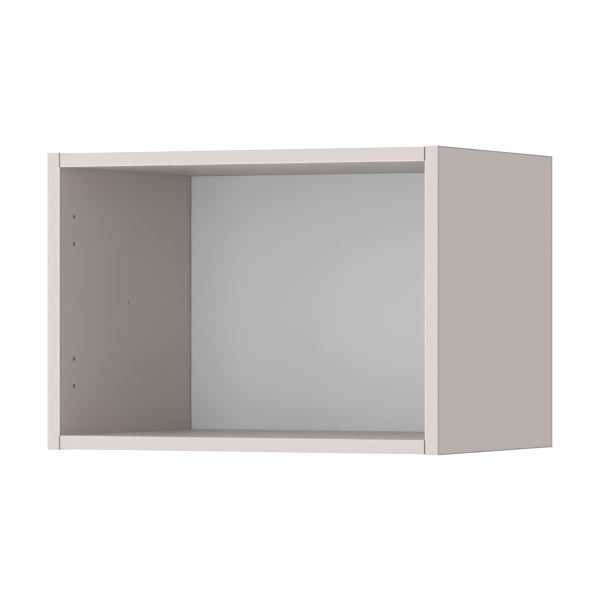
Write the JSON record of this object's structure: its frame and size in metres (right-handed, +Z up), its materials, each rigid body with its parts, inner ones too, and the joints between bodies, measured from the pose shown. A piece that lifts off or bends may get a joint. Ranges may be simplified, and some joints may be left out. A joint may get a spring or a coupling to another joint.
{
  "type": "overhead cabinet carcass",
  "caption": "Open wall cabinet carcass of faced boards with a thin grey back, turning cam locks at the board joints, hinge holes, and keyhole plates that hang it on the wall.",
  "frame": {"origin": "middle of the carcass in plan, level with the lower ends of its sides", "axes": "+X to the right seen from the open front, +Y towards the wall, +Z up"},
  "size_m": [0.5, 0.35, 0.35],
  "materials": {
    "board": "chipboard faced both sides in matte light warm grey melamine",
    "edge_band": "matte plastic edge band in the colour of the facing",
    "hardboard": "thin hardboard, lacquered neutral grey inside, raw brown behind",
    "beech": "bare beech",
    "zinc": "zinc casting, satin",
    "plated_steel": "zinc-plated steel"
  },
  "bodies": {
    "carcass": {"left_side_panel": "board", "right_side_panel": "board", "top_panel": "board", "bottom_panel": "board", "back_panel": "hardboard", "left_side_front_band": "edge_band", "right_side_front_band": "edge_band", "top_panel_front_band": "edge_band", "bottom_panel_front_band": "edge_band", "left_side_top_band": "edge_band", "left_side_bottom_band": "edge_band", "right_side_top_band": "edge_band", "right_side_bottom_band": "edge_band", "dowel_top_left_front": "beech", "dowel_top_left_rear": "beech", "dowel_top_right_front": "beech", "dowel_top_right_rear": "beech", "dowel_bottom_left_front": "beech", "dowel_bottom_left_rear": "beech", "dowel_bottom_right_front": "beech", "dowel_bottom_right_rear": "beech", "cam_bolt_top_left_front": "plated_steel", "cam_bolt_top_left_rear": "plated_steel", "cam_bolt_top_right_front": "plated_steel", "cam_bolt_top_right_rear": "plated_steel", "cam_bolt_bottom_left_front": "plated_steel", "cam_bolt_bottom_left_rear": "plated_steel", "cam_bolt_bottom_right_front": "plated_steel", "cam_bolt_bottom_right_rear": "plated_steel", "back_nail_left_1": "plated_steel", "back_nail_left_2": "plated_steel", "back_nail_left_3": "plated_steel", "back_nail_right_1": "plated_steel", "back_nail_right_2": "plated_steel", "back_nail_right_3": "plated_steel", "back_nail_top_1": "plated_steel", "back_nail_top_2": "plated_steel", "back_nail_top_3": "plated_steel", "back_nail_top_4": "plated_steel", "back_nail_bottom_1": "plated_steel", "back_nail_bottom_2": "plated_steel", "back_nail_bottom_3": "plated_steel", "back_nail_bottom_4": "plated_steel", "left_hanging_plate": "plated_steel", "right_hanging_plate": "plated_steel", "left_hanging_plate_lower_screw": "plated_steel", "left_hanging_plate_upper_screw": "plated_steel", "right_hanging_plate_lower_screw": "plated_steel", "right_hanging_plate_upper_screw": "plated_steel"},
    "cam_top_left_front": {"cam_lock_top_left_front": "zinc"},
    "cam_top_left_rear": {"cam_lock_top_left_rear": "zinc"},
    "cam_top_right_front": {"cam_lock_top_right_front": "zinc"},
    "cam_top_right_rear": {"cam_lock_top_right_rear": "zinc"},
    "cam_bottom_left_front": {"cam_lock_bottom_left_front": "zinc"},
    "cam_bottom_left_rear": {"cam_lock_bottom_left_rear": "zinc"},
    "cam_bottom_right_front": {"cam_lock_bottom_right_front": "zinc"},
    "cam_bottom_right_rear": {"cam_lock_bottom_right_rear": "zinc"}
  },
  "joints": [
    {"name": "turn_top_left_front", "type": "hinge", "parent": "carcass", "child": "cam_top_left_front", "pos_m": [-0.2, -0.115, 0.349], "axis": [0, 0, 1], "range_deg": [0, 180]},
    {"name": "turn_top_left_rear", "type": "hinge", "parent": "carcass", "child": "cam_top_left_rear", "pos_m": [-0.2, 0.115, 0.349], "axis": [0, 0, 1], "range_deg": [0, 180]},
    {"name": "turn_top_right_front", "type": "hinge", "parent": "carcass", "child": "cam_top_right_front", "pos_m": [0.2, -0.115, 0.349], "axis": [0, 0, 1], "range_deg": [0, 180]},
    {"name": "turn_top_right_rear", "type": "hinge", "parent": "carcass", "child": "cam_top_right_rear", "pos_m": [0.2, 0.115, 0.349], "axis": [0, 0, 1], "range_deg": [0, 180]},
    {"name": "turn_bottom_left_front", "type": "hinge", "parent": "carcass", "child": "cam_bottom_left_front", "pos_m": [-0.2, -0.115, 0.001], "axis": [0, 0, -1], "range_deg": [0, 180]},
    {"name": "turn_bottom_left_rear", "type": "hinge", "parent": "carcass", "child": "cam_bottom_left_rear", "pos_m": [-0.2, 0.115, 0.001], "axis": [0, 0, -1], "range_deg": [0, 180]},
    {"name": "turn_bottom_right_front", "type": "hinge", "parent": "carcass", "child": "cam_bottom_right_front", "pos_m": [0.2, -0.115, 0.001], "axis": [0, 0, -1], "range_deg": [0, 180]},
    {"name": "turn_bottom_right_rear", "type": "hinge", "parent": "carcass", "child": "cam_bottom_right_rear", "pos_m": [0.2, 0.115, 0.001], "axis": [0, 0, -1], "range_deg": [0, 180]}
  ]
}
